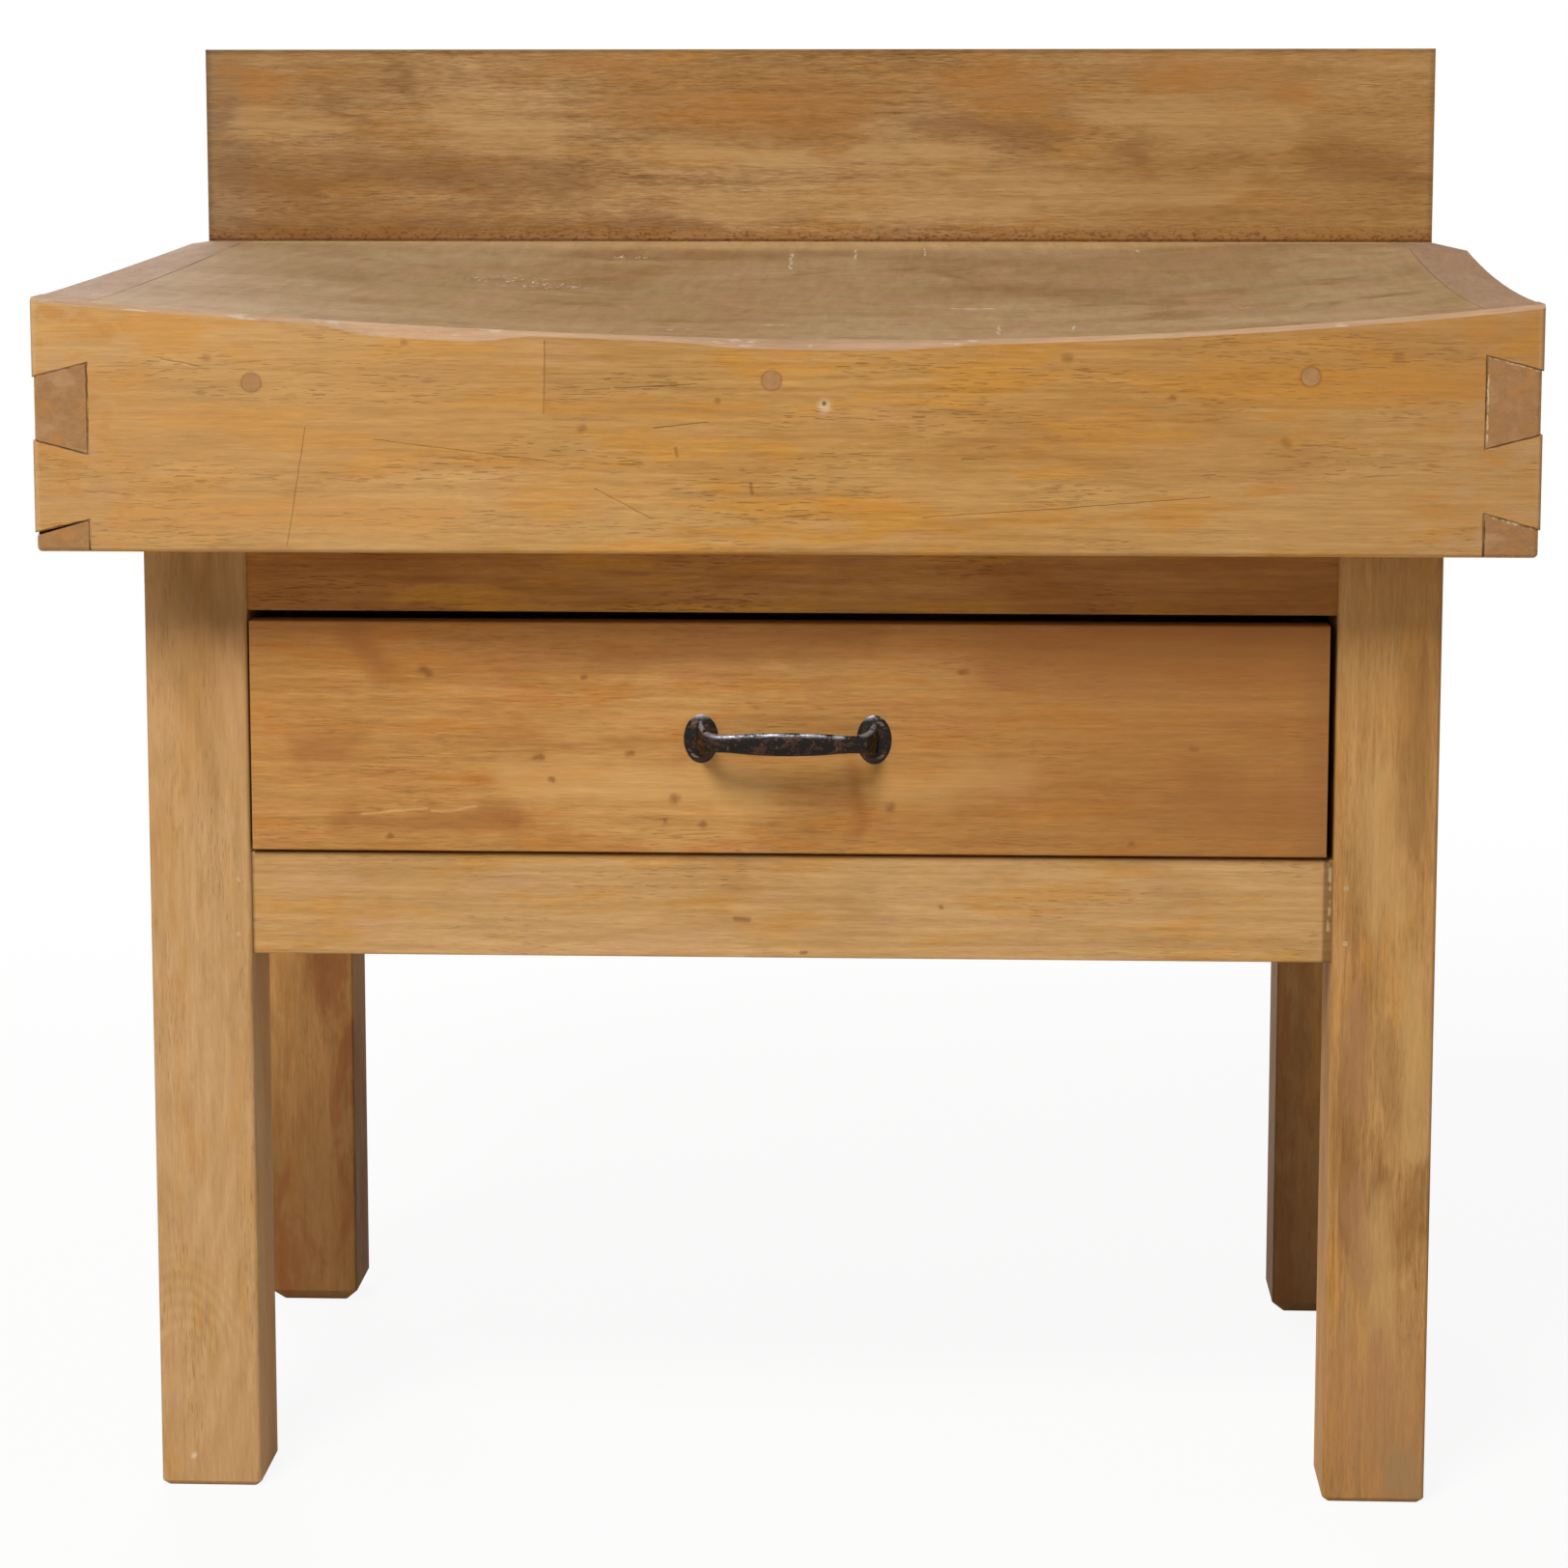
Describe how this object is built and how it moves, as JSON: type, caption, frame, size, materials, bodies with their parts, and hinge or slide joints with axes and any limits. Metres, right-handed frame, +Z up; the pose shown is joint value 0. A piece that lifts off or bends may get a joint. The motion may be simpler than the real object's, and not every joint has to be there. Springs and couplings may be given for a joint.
{
  "type": "butcher block table",
  "caption": "Thick laminated butcher block in a dovetailed frame, worn hollow at the front, on a four-legged base with a full-width drawer, iron handle and raised splashback.",
  "frame": {"origin": "on the floor, under the middle of the table's overall box", "axes": "+Z up, the drawer and the worn edge face -Y, +X to the right seen from the front"},
  "size_m": [1.067, 0.711, 1.08],
  "materials": {
    "block_wood": "worn oiled maple, honey brown",
    "core_wood": "scraped bare maple, greyed",
    "splashback_wood": "oiled maple board",
    "leg_wood": "oiled maple, honey brown",
    "rail_wood": "oiled maple, honey brown",
    "drawer_front_wood": "oiled maple, mottled",
    "drawer_box_wood": "bare maple, aged",
    "runner_wood": "bare maple, aged",
    "peg_wood": "dark end grain",
    "screw_steel": "aged",
    "handle_iron": "blackened, lightly rusted"
  },
  "bodies": {
    "table": {"block_front_board": "block_wood", "block_rear_board": "block_wood", "block_left_board": "block_wood", "block_right_board": "block_wood", "core_stave_1": "core_wood", "core_stave_2": "core_wood", "core_stave_3": "core_wood", "core_stave_4": "core_wood", "core_stave_5": "core_wood", "core_stave_6": "core_wood", "core_stave_7": "core_wood", "core_stave_8": "core_wood", "front_pegs": "peg_wood", "rear_pegs": "peg_wood", "locating_dowels": "peg_wood", "splashback": "splashback_wood", "splashback_screws": "screw_steel", "leg_front_left": "leg_wood", "leg_front_right": "leg_wood", "leg_rear_left": "leg_wood", "leg_rear_right": "leg_wood", "front_upper_rail": "rail_wood", "front_lower_rail": "rail_wood", "rail_pins": "peg_wood", "left_side_apron": "rail_wood", "right_side_apron": "rail_wood", "rear_apron": "rail_wood", "drawer_runner_left": "runner_wood", "drawer_runner_right": "runner_wood", "drawer_guide_left": "runner_wood", "drawer_guide_right": "runner_wood", "drawer_kicker_left": "runner_wood", "drawer_kicker_right": "runner_wood", "drawer_stops": "runner_wood"},
    "drawer": {"drawer_front": "drawer_front_wood", "drawer_side_left": "drawer_box_wood", "drawer_side_right": "drawer_box_wood", "drawer_back": "drawer_box_wood", "drawer_bottom": "drawer_box_wood", "drawer_handle": "handle_iron", "handle_screws": "screw_steel"}
  },
  "joints": [
    {"name": "drawer_slide", "type": "slide", "parent": "table", "child": "drawer", "axis": [0, -1, 0], "range_m": [0, 0.38]}
  ]
}
